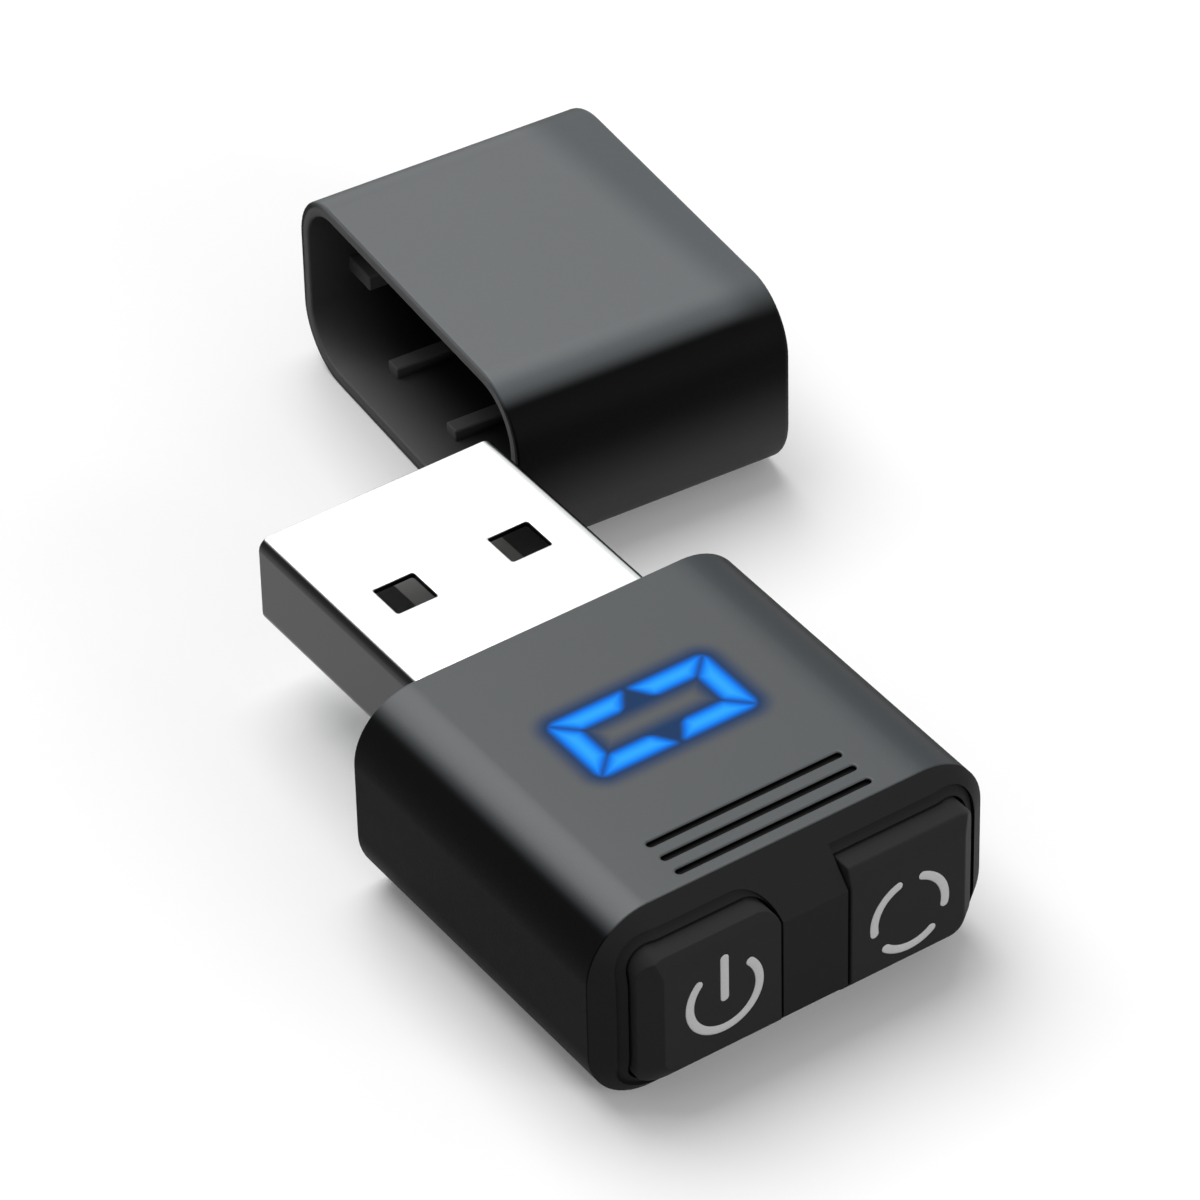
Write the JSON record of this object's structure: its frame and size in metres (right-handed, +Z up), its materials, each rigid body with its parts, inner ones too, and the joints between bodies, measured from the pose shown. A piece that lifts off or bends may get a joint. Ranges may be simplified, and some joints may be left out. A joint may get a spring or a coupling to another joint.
{
  "type": "mouse jiggler",
  "caption": "Stick-shaped mouse jiggler with a USB plug, a lit digit on top, push buttons at the rear and a pull-off cap lying beside it.",
  "frame": {"origin": "centre of the sleeve's flat base, where the stick rests", "axes": "+Y towards the plug's tip, +Z up through the face with the digit, +X across the housing"},
  "size_m": [0.032, 0.0507, 0.0097],
  "materials": {
    "housing": "fine-grained satin dark grey plastic",
    "end_block": "matt black plastic",
    "button": "matt black plastic with a printed grey sign",
    "plug_metal": "bright nickel-plated stamped steel",
    "plug_plastic": "black moulding",
    "contact": "gold-plated strip",
    "board": "green solder mask on glass fibre",
    "chip": "black moulded package",
    "part_metal": "tinned or stamped metal",
    "ceramic": "tan ceramic",
    "led": "clear resin over a white base",
    "reflector": "white light block",
    "diffuser": "milky film",
    "switch_body": "black moulding",
    "switch_plunger": "white moulding",
    "cap": "fine-grained satin dark grey plastic"
  },
  "bodies": {
    "stick": {"housing_sleeve": "housing", "end_bezel": "end_block", "usb_shell": "plug_metal", "usb_insulator": "plug_plastic", "contact_power": "contact", "contact_data_minus": "contact", "contact_data_plus": "contact", "contact_ground": "contact", "circuit_board": "board", "microcontroller": "chip", "crystal": "part_metal", "voltage_regulator": "chip", "capacitors": "ceramic", "segment_resistors": "chip", "display_leds": "led", "display_reflector": "reflector", "display_diffuser": "diffuser", "power_switch_case": "switch_body", "power_switch_cover": "part_metal", "mode_switch_case": "switch_body", "mode_switch_cover": "part_metal"},
    "power_key": {"power_button": "button", "power_switch_plunger": "switch_plunger", "power_switch_dome": "part_metal"},
    "mode_key": {"mode_button": "button", "mode_switch_plunger": "switch_plunger", "mode_switch_dome": "part_metal"},
    "cap": {"cap_shell": "cap"}
  },
  "joints": [
    {"name": "power_press", "type": "slide", "parent": "stick", "child": "power_key", "axis": [0, 1, 0], "range_m": [0, 0.0003], "stiffness_N_per_m": 2500},
    {"name": "mode_press", "type": "slide", "parent": "stick", "child": "mode_key", "axis": [0, 1, 0], "range_m": [0, 0.0003], "stiffness_N_per_m": 2500},
    {"name": "cap_pull", "type": "slide", "parent": "stick", "child": "cap", "axis": [0.9971, -0.0767, 0], "range_m": [0, 0.013]}
  ]
}
